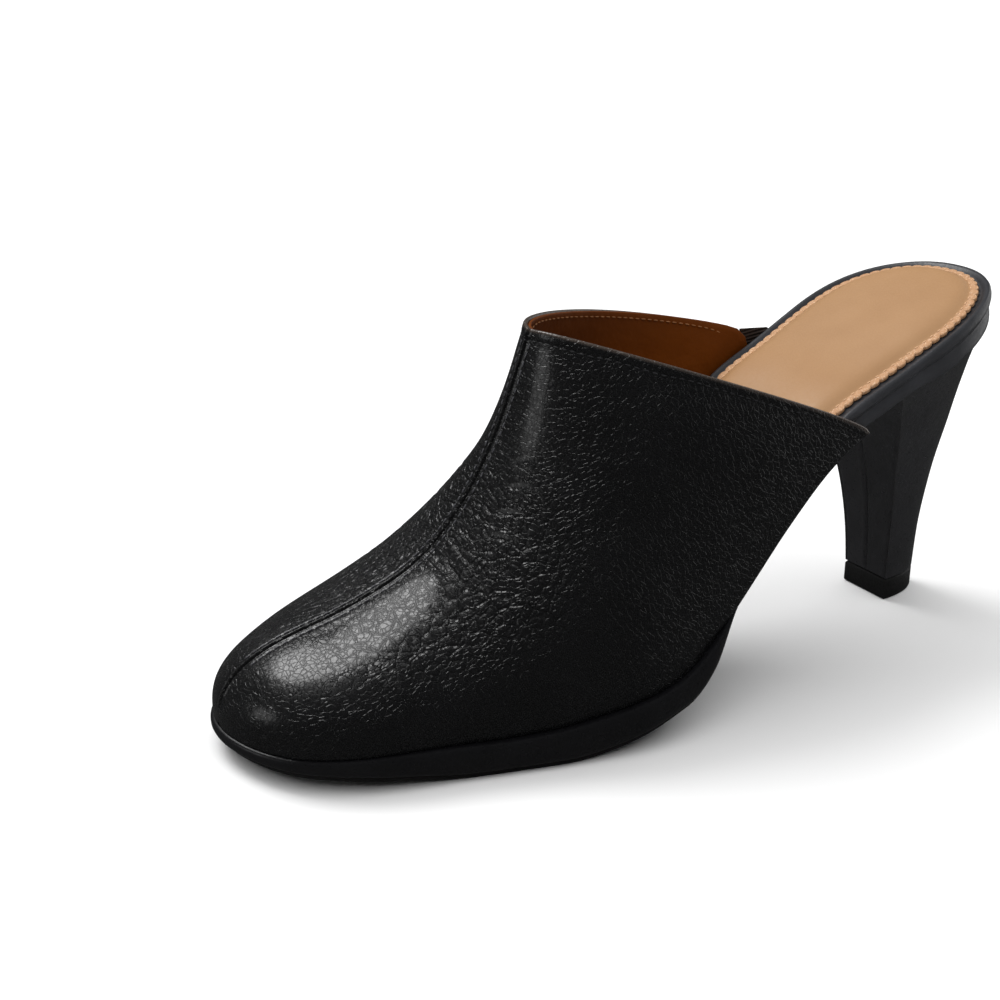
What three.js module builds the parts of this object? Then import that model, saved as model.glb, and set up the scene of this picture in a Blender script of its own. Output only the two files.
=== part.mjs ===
// A closed toe mule for the left foot: a high vamp on a thin platform, an open back and a covered high heel.
// Millimetres. x runs from the back of the seat to the toe, y to the outer side of the foot, z up.
// The finished shoe is moved along x: its origin is the middle of the heel's top piece, on the floor.
import * as THREE from "three";

// Lengths along the foot
const LENGTH = 218;
const TIP_BACK = 8.6;
const TIP_FRONT = 25;
const HEEL_TOP_FRONT = 46;

// Widths
const BALL_WIDTH = 72;
const TIP_WIDTH = 16.4;

// Heights above the floor
const HEEL_HEIGHT = 86;
const VAMP_RISE = 81;
const TOE_SPRING = 3.3;

// Thicknesses
const OUTSOLE = 1.5;
const PLATFORM = 7.1;
const RAND = 6.2;
const SEAT_DROP = 1.9;
const INSOLE_BOARD = 3.2;
const TOP_PIECE = 6.4;
const WALL = 1.9;
const SOCK = 0.9;
const PAD = 1.8;
const GORE = 1.1;
const GORE_LENGTH = 9;
const GORE_RISE = 3.6;
const GORE_BACK = 1.2;

// Margins and small reliefs
const GAP = 0.3;
const PLATFORM_LIP = 1.8;
const TOE_LIP = 0.6;
const SOLE_INSET = 1.6;
const SHANK_CLEARANCE = 1;
const SHANK_MARGIN = 2.6;
const HEEL_MARGIN = 1.3;
const SOCK_MARGIN = 3.2;
const PAD_MARGIN = 2.7;
const SEAM_WIDTH = 1.4;
const SEAM_DEPTH = 0.7;
const EDGE_ROUND = 1.4;
const EASE = 0.4;
const HEEL_GROOVE = 0.5;

// What the sole stack adds up to under the ball of the foot
const STACK = OUTSOLE + GAP + PLATFORM + GAP;

// The last's outline at the feather line: half width and centre line as shares of BALL_WIDTH.
// The round ends of heel and toe come from HEEL_CAP and TOE_CAP.
const OUTLINE = [
  { at: 0.0, half: 0.345, centre: 0.0 },
  { at: 0.05, half: 0.355, centre: 0.0 },
  { at: 0.1, half: 0.368, centre: 0.005 },
  { at: 0.15, half: 0.379, centre: 0.018 },
  { at: 0.2, half: 0.372, centre: 0.033 },
  { at: 0.3, half: 0.356, centre: 0.071 },
  { at: 0.4, half: 0.361, centre: 0.112 },
  { at: 0.5, half: 0.394, centre: 0.13 },
  { at: 0.55, half: 0.434, centre: 0.12 },
  { at: 0.6, half: 0.466, centre: 0.09 },
  { at: 0.65, half: 0.486, centre: 0.042 },
  { at: 0.7, half: 0.496, centre: -0.004 },
  { at: 0.75, half: 0.488, centre: -0.037 },
  { at: 0.8, half: 0.464, centre: -0.053 },
  { at: 0.85, half: 0.436, centre: -0.055 },
  { at: 0.9, half: 0.41, centre: -0.053 },
  { at: 0.95, half: 0.392, centre: -0.06 },
  { at: 1.0, half: 0.39, centre: -0.112 },
];
const HEEL_CAP = { length: 0.13, power: 2.2, root: 2.2 };
const TOE_CAP = { length: 0.18, power: 2.6, root: 2.0 };

// Height of the feather line: pitch is the share of the heel's rise above the ball.
const PITCH = [
  { at: 0.0, pitch: 1.0 },
  { at: 0.05, pitch: 0.96 },
  { at: 0.15, pitch: 0.86 },
  { at: 0.25, pitch: 0.747 },
  { at: 0.3, pitch: 0.695 },
  { at: 0.35, pitch: 0.615 },
  { at: 0.4, pitch: 0.483 },
  { at: 0.45, pitch: 0.33 },
  { at: 0.5, pitch: 0.193 },
  { at: 0.55, pitch: 0.1 },
  { at: 0.6, pitch: 0.057 },
  { at: 0.65, pitch: 0.03 },
  { at: 0.7, pitch: 0.008 },
  { at: 0.76, pitch: 0.0 },
  { at: 0.85, pitch: 0.006 },
  { at: 1.0, pitch: -0.012 },
];

// The sole's height off the floor in front of the shank, as a share of TOE_SPRING.
const TREAD = [
  { at: 0.5, lift: 3.2 },
  { at: 0.53, lift: 2.65 },
  { at: 0.56, lift: 2.1 },
  { at: 0.6, lift: 1.2 },
  { at: 0.64, lift: 0.5 },
  { at: 0.67, lift: 0.12 },
  { at: 0.69, lift: 0 },
  { at: 0.785, lift: 0 },
  { at: 0.86, lift: 0.6 },
  { at: 0.93, lift: 0.95 },
  { at: 1.0, lift: 1.0 },
];
const WAIST = { from: 0.46, to: 0.545 };
const TOE_REACH = { from: 0.72, to: 0.97 };
const LIP_RISE = { from: 0.4, to: 0.52 };
const SOLE_RISE = { from: 0.4, to: 0.5 };
const PLATFORM_START = 0.472;
const PLATFORM_EASE = 0.15;

// Ribs of the upper, from the toe to the topline. crown is where the rib meets the front seam,
// outer and inner where it stands on the feather line, all as shares of LENGTH; rise is the seam's
// height above the feather line as a share of VAMP_RISE and aside its offset to the outer side as a
// share of BALL_WIDTH.
const RIBS = [
  { crown: 1.0, outer: 1.0, inner: 1.0, rise: 0.238, aside: -0.112 },
  { crown: 0.936, outer: 0.936, inner: 0.936, rise: 0.24, aside: -0.092 },
  { crown: 0.88, outer: 0.875, inner: 0.875, rise: 0.252, aside: -0.078 },
  { crown: 0.826, outer: 0.808, inner: 0.803, rise: 0.303, aside: -0.06 },
  { crown: 0.775, outer: 0.74, inner: 0.727, rise: 0.378, aside: -0.045 },
  { crown: 0.734, outer: 0.672, inner: 0.65, rise: 0.48, aside: -0.034 },
  { crown: 0.7, outer: 0.597, inner: 0.565, rise: 0.605, aside: -0.027 },
  { crown: 0.674, outer: 0.513, inner: 0.472, rise: 0.738, aside: -0.018 },
  { crown: 0.655, outer: 0.413, inner: 0.366, rise: 0.87, aside: -0.01 },
  { crown: 0.638, outer: 0.283, inner: 0.247, rise: 1.0, aside: -0.002 },
];

// The arch of the same ribs: outer and inner are how far each side is squared, above the 2 of an
// ellipse; the swells push the sides out, as shares of BALL_WIDTH; the bow lifts a rib's middle and the
// lift its inner side, as shares of VAMP_RISE.
const RIB_FORMS = [
  { outer: 2.3, inner: 2.3, outerSwell: 0.02, innerSwell: 0.02, bow: 0, lift: 0 },
  { outer: 2.25, inner: 2.32, outerSwell: 0.02, innerSwell: 0.018, bow: 0, lift: 0 },
  { outer: 2.2, inner: 2.5, outerSwell: 0.02, innerSwell: 0.015, bow: 0, lift: 0 },
  { outer: 2.15, inner: 2.52, outerSwell: 0.02, innerSwell: 0.012, bow: 0, lift: 0 },
  { outer: 2.1, inner: 2.6, outerSwell: 0.022, innerSwell: 0.03, bow: 0, lift: 0 },
  { outer: 2.1, inner: 2.8, outerSwell: 0.025, innerSwell: 0.045, bow: 0.008, lift: 0 },
  { outer: 2.1, inner: 2.9, outerSwell: 0.028, innerSwell: 0.06, bow: 0.014, lift: 0.005 },
  { outer: 2.05, inner: 2.55, outerSwell: 0.036, innerSwell: 0.06, bow: 0.018, lift: 0.015 },
  { outer: 2.05, inner: 2.15, outerSwell: 0.042, innerSwell: 0.08, bow: 0.026, lift: 0.045 },
  { outer: 2.05, inner: 2.05, outerSwell: 0.034, innerSwell: 0.06, bow: 0.034, lift: 0.1 },
];
const CROWN_CAP = { length: 0.18, power: 3.0, root: 2.3 };
const BOW_POWER = 0.45;
const SWELL_REACH = BALL_WIDTH / 4;
const CORNER_SHARPNESS = 90;

// How many ribs and how many points on each side of a rib
const TOE_RIBS = 8;
const RIBS_PER_ROW = 4;
const RIB_POINTS = 12;

// The heel between the top piece and the seat: backward is how far its back has come out to the
// seat's, spread the same for its sides and its front.
const HEEL_SECTIONS = [
  { at: 0.0, backward: 0.0, spread: 0.0 },
  { at: 0.15, backward: 0.03, spread: 0.035 },
  { at: 0.4, backward: 0.34, spread: 0.145 },
  { at: 0.65, backward: 0.84, spread: 0.36 },
  { at: 0.85, backward: 0.98, spread: 0.67 },
  { at: 1.0, backward: 1.0, spread: 1.0 },
];
const HEEL_LEVELS = 14;
const HEEL_POINTS = 14;

// Where the upper's wall passes from beside the board to outside the last's outline
const WRAP = { from: 0.3, to: 0.52 };
const BOARD_THINS = { from: 0.3, to: 0.5 };
const SEAT_REACH = { from: 30, to: 45 };

// Where the sock's padding ends, inside the shoe
const PAD_END = 0.72;

// The rounded edge of the sock's padding
const PAD_PROFILE = [
  { inset: 0, rise: 0 },
  { inset: 0.3, rise: 0.5 },
  { inset: 1.4, rise: 0.85 },
  { inset: 3.2, rise: 1 },
];

// How finely the pieces are divided, and how close two points are one
const STATION_COUNT = 72;
const SHORTEST_STEP = 0.5;
const RIB_CROWDING = 1.5;
const GORE_COLUMNS = 6;
const SAME_POINT = 1e-3;

const clamp = (value, low, high) => Math.min(Math.max(value, low), high);
const mix = (a, b, t) => a + (b - a) * t;
const smooth = (t) => t * t * (3 - 2 * t);
const ramp = (value, range) => smooth(clamp((value - range.from) / (range.to - range.from), 0, 1));

// A smooth curve through one column of a table that doesn't overshoot between its rows.
function curve(rows, key) {
  const x = rows.map((row) => row.at);
  const y = rows.map((row) => row[key]);
  const steps = x.slice(1).map((_, i) => x[i + 1] - x[i]);
  const slopes = steps.map((h, i) => (y[i + 1] - y[i]) / h);
  const tangents = x.map((_, i) => {
    if (i === 0) return slopes[0];
    if (i === x.length - 1) return slopes[i - 1];
    if (slopes[i - 1] * slopes[i] <= 0) return 0;
    const w1 = 2 * steps[i] + steps[i - 1];
    const w2 = steps[i] + 2 * steps[i - 1];
    return (w1 + w2) / (w1 / slopes[i - 1] + w2 / slopes[i]);
  });
  return (value) => {
    const v = clamp(value, x[0], x[x.length - 1]);
    let i = 0;
    while (i < steps.length - 1 && v > x[i + 1]) i += 1;
    const h = steps[i];
    const t = (v - x[i]) / h;
    const near = y[i] * (1 + 2 * t) * (1 - t) ** 2 + tangents[i] * h * t * (1 - t) ** 2;
    const far = y[i + 1] * t * t * (3 - 2 * t) + tangents[i + 1] * h * t * t * (t - 1);
    return near + far;
  };
}

// 1 away from the end, falling to 0 at it along a superellipse; share is the distance from the end.
function roundedEnd(share, cap) {
  const inward = clamp(1 - share / cap.length, 0, 1);
  return (1 - inward ** cap.power) ** (1 / cap.root);
}

const halfWidth = curve(OUTLINE, "half");
const centreLine = curve(OUTLINE, "centre");
const pitch = curve(PITCH, "pitch");
const treadLift = curve(TREAD, "lift");

const half = (x) => {
  const at = x / LENGTH;
  return BALL_WIDTH * halfWidth(at) * roundedEnd(at, HEEL_CAP) * roundedEnd(1 - at, TOE_CAP);
};
const centre = (x) => BALL_WIDTH * centreLine(x / LENGTH);
const edge = (x, side) => centre(x) + side * half(x);
const feather = (x) => STACK + (HEEL_HEIGHT - STACK) * pitch(x / LENGTH);
const wrap = (x) => (WALL + GAP) * ramp(x / LENGTH, WRAP);
const seatLow = (x) => feather(x) - SEAT_DROP * (1 - ramp(x, SEAT_REACH));
const boardTop = (x) => feather(x) + mix(RAND, INSOLE_BOARD, ramp(x / LENGTH, BOARD_THINS));

// How far the platform stands out from the last: none at the waist, most beside the ball
function platformLip(x) {
  const beside = PLATFORM_LIP * ramp(x / LENGTH, LIP_RISE);
  return mix(beside, TOE_LIP, ramp(x / LENGTH, TOE_REACH));
}

// The sole's lower face: along the shank under the board, down to the floor at the ball, up at the toe.
function treadHeight(x) {
  const shank = feather(x) - GAP - OUTSOLE;
  return mix(shank, TOE_SPRING * treadLift(x / LENGTH), ramp(x / LENGTH, WAIST));
}

// The point of the last's outline at angle phi, from 0 at the back of the heel to pi at the toe.
function outlineAt(phi, side) {
  const x = (LENGTH * (1 - Math.cos(phi))) / 2;
  const turned = phi < 0 || phi > Math.PI ? -side : side;
  return new THREE.Vector2(x, edge(x, turned));
}

// The outline's point at x, moved outwards along the outline's normal.
function rim(x, side, out) {
  const phi = Math.acos(clamp(1 - (2 * x) / LENGTH, -1, 1));
  const step = 1e-3;
  const along = outlineAt(phi + step, side).sub(outlineAt(phi - step, side)).normalize();
  return new THREE.Vector2(-along.y, along.x).multiplyScalar(side * out).add(outlineAt(phi, side));
}

// Stations along the foot, close together at both round ends. All flat pieces share them.
const STATIONS = Array.from({ length: STATION_COUNT + 1 }, (_, i) => {
  return (LENGTH * (1 - Math.cos((Math.PI * i) / STATION_COUNT))) / 2;
});
const upTo = (x1) => [...STATIONS.filter((x) => x < x1 - SHORTEST_STEP), x1];
const from = (x0) => [x0, ...STATIONS.filter((x) => x > x0 + SHORTEST_STEP)];

// Triangles between numbered points, then made one geometry.
class Skin {
  constructor() {
    this.points = [];
    this.faces = [];
  }
  point(x, y, z) {
    this.points.push([x, y, z]);
    return this.points.length - 1;
  }
  quad(a, b, c, d) {
    this.faces.push([a, b, c], [a, c, d]);
  }
  geometry() {
    const place = (i) => this.points[i];
    const kept = this.faces.filter((face) => {
      const [a, b, c] = face.map((i) => new THREE.Vector3(...place(i)));
      return Math.min(a.distanceTo(b), b.distanceTo(c), c.distanceTo(a)) > SAME_POINT;
    });
    const geometry = new THREE.BufferGeometry();
    const flat = kept.flatMap((face) => face.flatMap(place));
    geometry.setAttribute("position", new THREE.Float32BufferAttribute(flat, 3));
    geometry.computeVertexNormals();
    return geometry;
  }
}

// A piece like a sheet or a board: rings one above another that follow the outline, closed by strips
// from side to side. margin is how far the piece stands out from the outline at x; a level holds the
// inset of its ring and its height at x.
function slab(xs, margin, levels) {
  const skin = new Skin();
  const rings = levels.map((level) =>
    [1, -1].map((side) =>
      xs.map((x) => {
        const point = rim(x, side, margin(x) - level.inset);
        return skin.point(point.x, point.y, level.height(point.x));
      }),
    ),
  );
  const last = xs.length - 1;
  for (let j = 0; j + 1 < rings.length; j += 1) {
    const [low, high] = [rings[j], rings[j + 1]];
    for (let i = 0; i < last; i += 1) {
      skin.quad(low[0][i], high[0][i], high[0][i + 1], low[0][i + 1]);
      skin.quad(low[1][i], low[1][i + 1], high[1][i + 1], high[1][i]);
    }
    skin.quad(low[0][0], low[1][0], high[1][0], high[0][0]);
    skin.quad(low[0][last], high[0][last], high[1][last], low[1][last]);
  }
  const [bottom, top] = [rings[0], rings[rings.length - 1]];
  for (let i = 0; i < last; i += 1) {
    skin.quad(bottom[0][i], bottom[0][i + 1], bottom[1][i + 1], bottom[1][i]);
    skin.quad(top[0][i], top[1][i], top[1][i + 1], top[0][i + 1]);
  }
  return skin.geometry();
}

const shoe = new THREE.Group();

function addPiece(name, geometry, color, roughness) {
  const material = new THREE.MeshStandardMaterial({ color, roughness, metalness: 0 });
  const mesh = new THREE.Mesh(geometry, material);
  mesh.name = name;
  shoe.add(mesh);
}

// The board that the shoe is built on: its wrapped edge is the rand that shows behind the upper.
function seatBoard() {
  const midRound = EDGE_ROUND * (1 - Math.SQRT1_2);
  return slab(STATIONS, (x) => -wrap(x), [
    { inset: EASE, height: seatLow },
    { inset: 0, height: (x) => seatLow(x) + EASE },
    { inset: 0, height: (x) => boardTop(x) - EDGE_ROUND },
    { inset: midRound, height: (x) => boardTop(x) - midRound },
    { inset: EDGE_ROUND, height: boardTop },
  ]);
}

// The thin sole: under the platform at the front, up the shank to the front of the heel at the back.
function outsole() {
  const margin = (x) => mix(-SHANK_MARGIN, platformLip(x) - SOLE_INSET, ramp(x / LENGTH, SOLE_RISE));
  return slab(from(HEEL_TOP_FRONT + SHANK_CLEARANCE), margin, [
    { inset: EASE, height: treadHeight },
    { inset: 0, height: (x) => treadHeight(x) + EASE },
    { inset: 0, height: (x) => treadHeight(x) + OUTSOLE },
  ]);
}

// The platform, a filler wrapped in the same leather, thinning to an edge at the waist.
function platform() {
  const low = (x) => treadHeight(x) + OUTSOLE + GAP;
  const high = (x) => feather(x) - GAP;
  const between = (share) => (x) => mix(low(x), high(x), share);
  return slab(from(PLATFORM_START * LENGTH), platformLip, [
    { inset: EASE, height: low },
    { inset: 0, height: between(PLATFORM_EASE) },
    { inset: 0, height: between(1 - PLATFORM_EASE) },
    { inset: EASE, height: high },
  ]);
}

// The leather sock on the board: a pinked border under a padded middle.
function sock() {
  const low = (x) => boardTop(x) + GAP;
  const margin = (x) => -SOCK_MARGIN - wrap(x);
  return slab(STATIONS, margin, [
    { inset: 0, height: low },
    { inset: 0, height: (x) => low(x) + SOCK },
  ]);
}

function sockPad() {
  const low = (x) => boardTop(x) + GAP + SOCK + GAP;
  const margin = (x) => -SOCK_MARGIN - PAD_MARGIN - wrap(x);
  const levels = PAD_PROFILE.map(({ inset, rise }) => ({ inset, height: (x) => low(x) + PAD * rise }));
  return slab(upTo(PAD_END * LENGTH), margin, levels);
}

const alongRibs = (rows, key) => curve(rows.map((row, at) => ({ at, ...row })), key);
const crownShare = alongRibs(RIBS, "crown");
const seamRise = alongRibs(RIBS, "rise");
const seamAside = alongRibs(RIBS, "aside");
const fullness = { 1: alongRibs(RIB_FORMS, "outer"), [-1]: alongRibs(RIB_FORMS, "inner") };
const bow = alongRibs(RIB_FORMS, "bow");
const lift = alongRibs(RIB_FORMS, "lift");
const footShare = { 1: alongRibs(RIBS, "outer"), [-1]: alongRibs(RIBS, "inner") };
const swell = { 1: alongRibs(RIB_FORMS, "outerSwell"), [-1]: alongRibs(RIB_FORMS, "innerSwell") };

// Makes sin * cos^3 reach 1 at its peak
const BELLY_SCALE = 16 / (3 * Math.sqrt(3));

function crownPoint(q) {
  const x = LENGTH * crownShare(q);
  const rise = VAMP_RISE * seamRise(q) * roundedEnd(1 - x / LENGTH, CROWN_CAP);
  return new THREE.Vector3(x, BALL_WIDTH * seamAside(q), feather(x) + rise);
}

// One rib on one side of the foot, from the feather line to the edge of the front seam. The swell is
// greatest a third of the way up, and fades where the rib is short, at the toe.
function ribPoints(q, side) {
  const crown = crownPoint(q);
  const footX = LENGTH * footShare[side](q);
  const foot = rim(footX, side, WALL + GAP - wrap(footX));
  const reach = foot.y - crown.y;
  const power = 2 / fullness[side](q);
  const seamShare = Math.min(SEAM_WIDTH / 2 / Math.abs(reach), 0.5);
  const last = Math.acos(seamShare ** (1 / power));
  const swelling = BALL_WIDTH * swell[side](q) * Math.min(1, Math.abs(reach) / SWELL_REACH);
  return Array.from({ length: RIB_POINTS + 1 }, (_, j) => {
    const angle = last * (j / RIB_POINTS) ** RIB_CROWDING;
    const up = Math.sin(angle) ** power;
    const out = Math.cos(angle) ** power;
    const belly = BELLY_SCALE * Math.sin(angle) * Math.cos(angle) ** 3;
    const arched = bow(q) * (4 * up * (1 - up)) ** BOW_POWER;
    const lifted = side < 0 ? lift(q) * (1 - up) * (1 - Math.exp(-CORNER_SHARPNESS * up)) : 0;
    return new THREE.Vector3(
      mix(foot.x, crown.x, up),
      crown.y + reach * out + side * swelling * belly,
      mix(feather(footX), crown.z, up) + VAMP_RISE * (arched + lifted),
    );
  });
}

// All ribs as rows of points: up the outer side, over the seam and down the inner side.
function ribGrid() {
  const rows = [];
  for (let i = 1; i <= TOE_RIBS; i += 1) rows.push((i / TOE_RIBS) ** 2);
  for (let i = 1; i <= (RIBS.length - 2) * RIBS_PER_ROW; i += 1) rows.push(1 + i / RIBS_PER_ROW);
  return rows.map((q) => [...ribPoints(q, 1), crownPoint(q), ...ribPoints(q, -1).reverse()]);
}

// Outward normals of a grid of points whose first row opens out from one tip.
function gridNormals(grid, tip) {
  return grid.map((row, i) =>
    row.map((_, c) => {
      const ahead = i > 0 ? grid[i - 1][c] : tip;
      const behind = grid[Math.min(i + 1, grid.length - 1)][c];
      const lower = row[Math.max(c - 1, 0)];
      const upper = row[Math.min(c + 1, row.length - 1)];
      const back = behind.clone().sub(ahead);
      return back.cross(upper.clone().sub(lower)).normalize();
    }),
  );
}

// The upper: one hollow shell, open behind the instep and underneath, with a groove for the front seam.
// Along the feather line the wall keeps its full thickness level, so that the shell ends flat.
function upper() {
  const skin = new Skin();
  const add = (p) => skin.point(p.x, p.y, p.z);
  const grid = ribGrid();
  const tip = new THREE.Vector3(LENGTH, centre(LENGTH), feather(LENGTH));
  const normals = gridNormals(grid, tip);
  const middle = RIB_POINTS + 1;
  const end = grid[0].length - 1;
  const outer = grid.map((row, i) =>
    row.map((p, c) => {
      if (c !== middle) return add(p);
      const width = row[middle - 1].distanceTo(row[middle + 1]);
      const depth = SEAM_DEPTH * Math.min(1, width / SEAM_WIDTH);
      return add(p.clone().addScaledVector(normals[i][c], -depth));
    }),
  );
  const inner = grid.map((row, i) =>
    row.map((p, c) => {
      const moved = p.clone().addScaledVector(normals[i][c], -WALL);
      if (c > 0 && c < end) return add(moved);
      const flat = new THREE.Vector2(normals[i][c].x, normals[i][c].y).normalize();
      return skin.point(p.x - flat.x * WALL, p.y - flat.y * WALL, p.z);
    }),
  );
  const outerTip = add(tip);
  const innerTip = skin.point(tip.x - WALL, tip.y, tip.z);
  for (let c = 0; c < end; c += 1) {
    skin.faces.push([outerTip, outer[0][c], outer[0][c + 1]], [innerTip, inner[0][c + 1], inner[0][c]]);
    for (let i = 0; i + 1 < grid.length; i += 1) {
      skin.quad(outer[i][c], outer[i + 1][c], outer[i + 1][c + 1], outer[i][c + 1]);
      skin.quad(inner[i][c], inner[i][c + 1], inner[i + 1][c + 1], inner[i + 1][c]);
    }
    const row = grid.length - 1;
    skin.quad(outer[row][c], inner[row][c], inner[row][c + 1], outer[row][c + 1]);
  }
  const outerFoot = [outerTip, ...outer.map((row) => row[0])];
  const innerFoot = [innerTip, ...inner.map((row) => row[0])];
  const outerHeel = [outerTip, ...outer.map((row) => row[end])];
  const innerHeel = [innerTip, ...inner.map((row) => row[end])];
  for (let i = 0; i < grid.length; i += 1) {
    skin.quad(outerFoot[i], innerFoot[i], innerFoot[i + 1], outerFoot[i + 1]);
    skin.quad(outerHeel[i], outerHeel[i + 1], innerHeel[i + 1], innerHeel[i]);
  }
  return skin.geometry();
}

// The covered heel. Each ring runs from the outer front corner round the back to the inner one: at
// the top piece it is half an ellipse and at the seat it is the last's own outline.
const backward = curve(HEEL_SECTIONS, "backward");
const spread = curve(HEEL_SECTIONS, "spread");

function heelRing(share) {
  const back = mix(TIP_BACK, HEEL_MARGIN, backward(share));
  const front = mix(TIP_FRONT, HEEL_TOP_FRONT, spread(share));
  const seatHalf = half(HEEL_TOP_FRONT) - HEEL_MARGIN;
  const halfWide = mix(TIP_WIDTH / 2, seatHalf, spread(share));
  const middle = centre(HEEL_TOP_FRONT) * spread(share);
  return Array.from({ length: 2 * HEEL_POINTS + 1 }, (_, i) => {
    const angle = (Math.PI * i) / (2 * HEEL_POINTS);
    const side = i <= HEEL_POINTS ? 1 : -1;
    const seat = rim(HEEL_TOP_FRONT * (1 - Math.sin(angle)), side, -HEEL_MARGIN);
    const seatDeep = (HEEL_TOP_FRONT - seat.x) / (HEEL_TOP_FRONT - HEEL_MARGIN);
    const seatWide = (seat.y - centre(HEEL_TOP_FRONT)) / seatHalf;
    const deep = mix(Math.sin(angle), seatDeep, share);
    const wide = mix(Math.cos(angle), seatWide, share);
    const height = mix(TOP_PIECE + GAP, seatLow(seat.x) - GAP, share);
    return new THREE.Vector3(mix(front, back, deep), middle + wide * halfWide, height);
  });
}

// Rings that run round from one front corner to the other, closed at the front, below and above.
function stackedRings(rings) {
  const skin = new Skin();
  const ids = rings.map((ring) => ring.map((p) => skin.point(p.x, p.y, p.z)));
  const count = ids[0].length;
  for (let j = 0; j + 1 < ids.length; j += 1) {
    for (let i = 0; i < count; i += 1) {
      const next = (i + 1) % count;
      skin.quad(ids[j][i], ids[j][next], ids[j + 1][next], ids[j + 1][i]);
    }
  }
  const [bottom, top] = [ids[0], ids[ids.length - 1]];
  for (let i = 0; i < (count - 1) / 2; i += 1) {
    const far = count - 1 - i;
    skin.quad(top[i], top[i + 1], top[far - 1], top[far]);
    skin.quad(bottom[i], bottom[far], bottom[far - 1], bottom[i + 1]);
  }
  return skin.geometry();
}

function heel() {
  const levels = Array.from({ length: HEEL_LEVELS + 1 }, (_, j) => j / HEEL_LEVELS);
  return stackedRings(levels.map(heelRing));
}

// The top piece that the heel stands on, flush with the heel above a narrow groove
function topPiece() {
  const ring = (inset, height) =>
    heelRing(0).map((p) => {
      const middle = (TIP_BACK + TIP_FRONT) / 2;
      const shrink = 1 - (2 * inset) / (TIP_FRONT - TIP_BACK);
      return new THREE.Vector3(middle + (p.x - middle) * shrink, p.y * shrink, height);
    });
  return stackedRings([
    ring(EASE, 0),
    ring(0, EASE),
    ring(0, TOP_PIECE - HEEL_GROOVE),
    ring(HEEL_GROOVE, TOP_PIECE),
  ]);
}

// The elastic gore behind the upper's inner edge, its top a straight line down to the rand at its back
function gore() {
  const skin = new Skin();
  const lastRib = RIBS.length - 1;
  const front = LENGTH * RIBS[lastRib].inner - GAP;
  const frontTop = boardTop(front) + GORE_RISE;
  const backTop = boardTop(front - GORE_LENGTH) - GORE_BACK;
  const columns = Array.from({ length: GORE_COLUMNS + 1 }, (_, i) => {
    const share = i / GORE_COLUMNS;
    const x = front - GORE_LENGTH * share;
    const top = mix(frontTop, backTop, share);
    return [GAP, GAP + GORE].map((out) => {
      const p = rim(x, -1, out);
      return [feather(x), top].map((height) => skin.point(p.x, p.y, height));
    });
  });
  columns.slice(1).forEach(([[a, b], [c, d]], i) => {
    const [[e, f], [g, h]] = columns[i];
    skin.quad(e, a, b, f);
    skin.quad(g, h, d, c);
    skin.quad(e, g, c, a);
    skin.quad(f, b, d, h);
  });
  const [[a, b], [c, d]] = columns[0];
  const [[e, f], [g, h]] = columns[columns.length - 1];
  skin.quad(a, b, d, c);
  skin.quad(e, g, h, f);
  return skin.geometry();
}

addPiece("seat_board", seatBoard(), 0x17181b, 0.45);
addPiece("outsole", outsole(), 0x151515, 0.6);
addPiece("platform", platform(), 0x17171a, 0.45);
addPiece("sock", sock(), 0xc99a6a, 0.6);
addPiece("sock_pad", sockPad(), 0xc9986a, 0.6);
addPiece("upper", upper(), 0x141416, 0.35);
addPiece("gore", gore(), 0x1a1310, 0.9);
addPiece("heel", heel(), 0x17181b, 0.45);
addPiece("heel_top_piece", topPiece(), 0x101010, 0.7);

shoe.position.x = -(TIP_BACK + TIP_FRONT) / 2;

export default shoe;
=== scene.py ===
"""A closed toe mule for the left foot, dressed over its solids.

Lengths are in millimetres from the back of the seat, as a shoemaker measures them: x to the toe, y to the
outer side of the foot, z up from the floor. Each piece is put into metres in the frame's own place.
"""
import math

import bmesh
import bpy
import numpy as np
from mathutils import Matrix, Vector


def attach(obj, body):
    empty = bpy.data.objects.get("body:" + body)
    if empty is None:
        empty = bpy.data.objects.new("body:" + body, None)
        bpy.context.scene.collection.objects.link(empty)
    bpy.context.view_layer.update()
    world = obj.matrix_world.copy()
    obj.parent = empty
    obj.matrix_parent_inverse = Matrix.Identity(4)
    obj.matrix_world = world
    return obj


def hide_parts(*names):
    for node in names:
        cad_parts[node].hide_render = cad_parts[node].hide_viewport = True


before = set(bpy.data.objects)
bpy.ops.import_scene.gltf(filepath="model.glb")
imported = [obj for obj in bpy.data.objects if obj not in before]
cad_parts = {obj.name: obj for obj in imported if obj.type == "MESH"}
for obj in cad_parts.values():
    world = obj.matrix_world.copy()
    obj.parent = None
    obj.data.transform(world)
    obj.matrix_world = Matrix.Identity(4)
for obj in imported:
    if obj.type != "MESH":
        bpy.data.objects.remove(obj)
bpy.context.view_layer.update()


# Seat board and rand
# A fibre board that carries the foot, wrapped in smooth black leather. The wrapped edge shows behind the
# upper as a rand: a rolled rim, a recess under it and a lower band that reaches over the heel's top.
LENGTH = 218
BALL_WIDTH = 72
HEEL_HEIGHT = 86
ORIGIN_X = 16.8
STACK = 9.2
RAND = 6.2
INSOLE_BOARD = 3.2
SEAT_DROP = 1.9
SEAT_DROP_FROM = 30
SEAT_DROP_TO = 45
WALL = 1.9
GAP = 0.3
RAND_STATIONS = 241


def table(names, *rows):
    """Named columns from rows of numbers."""
    return {name: np.array(column, float) for name, column in zip(names.split(), zip(*rows))}


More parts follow.
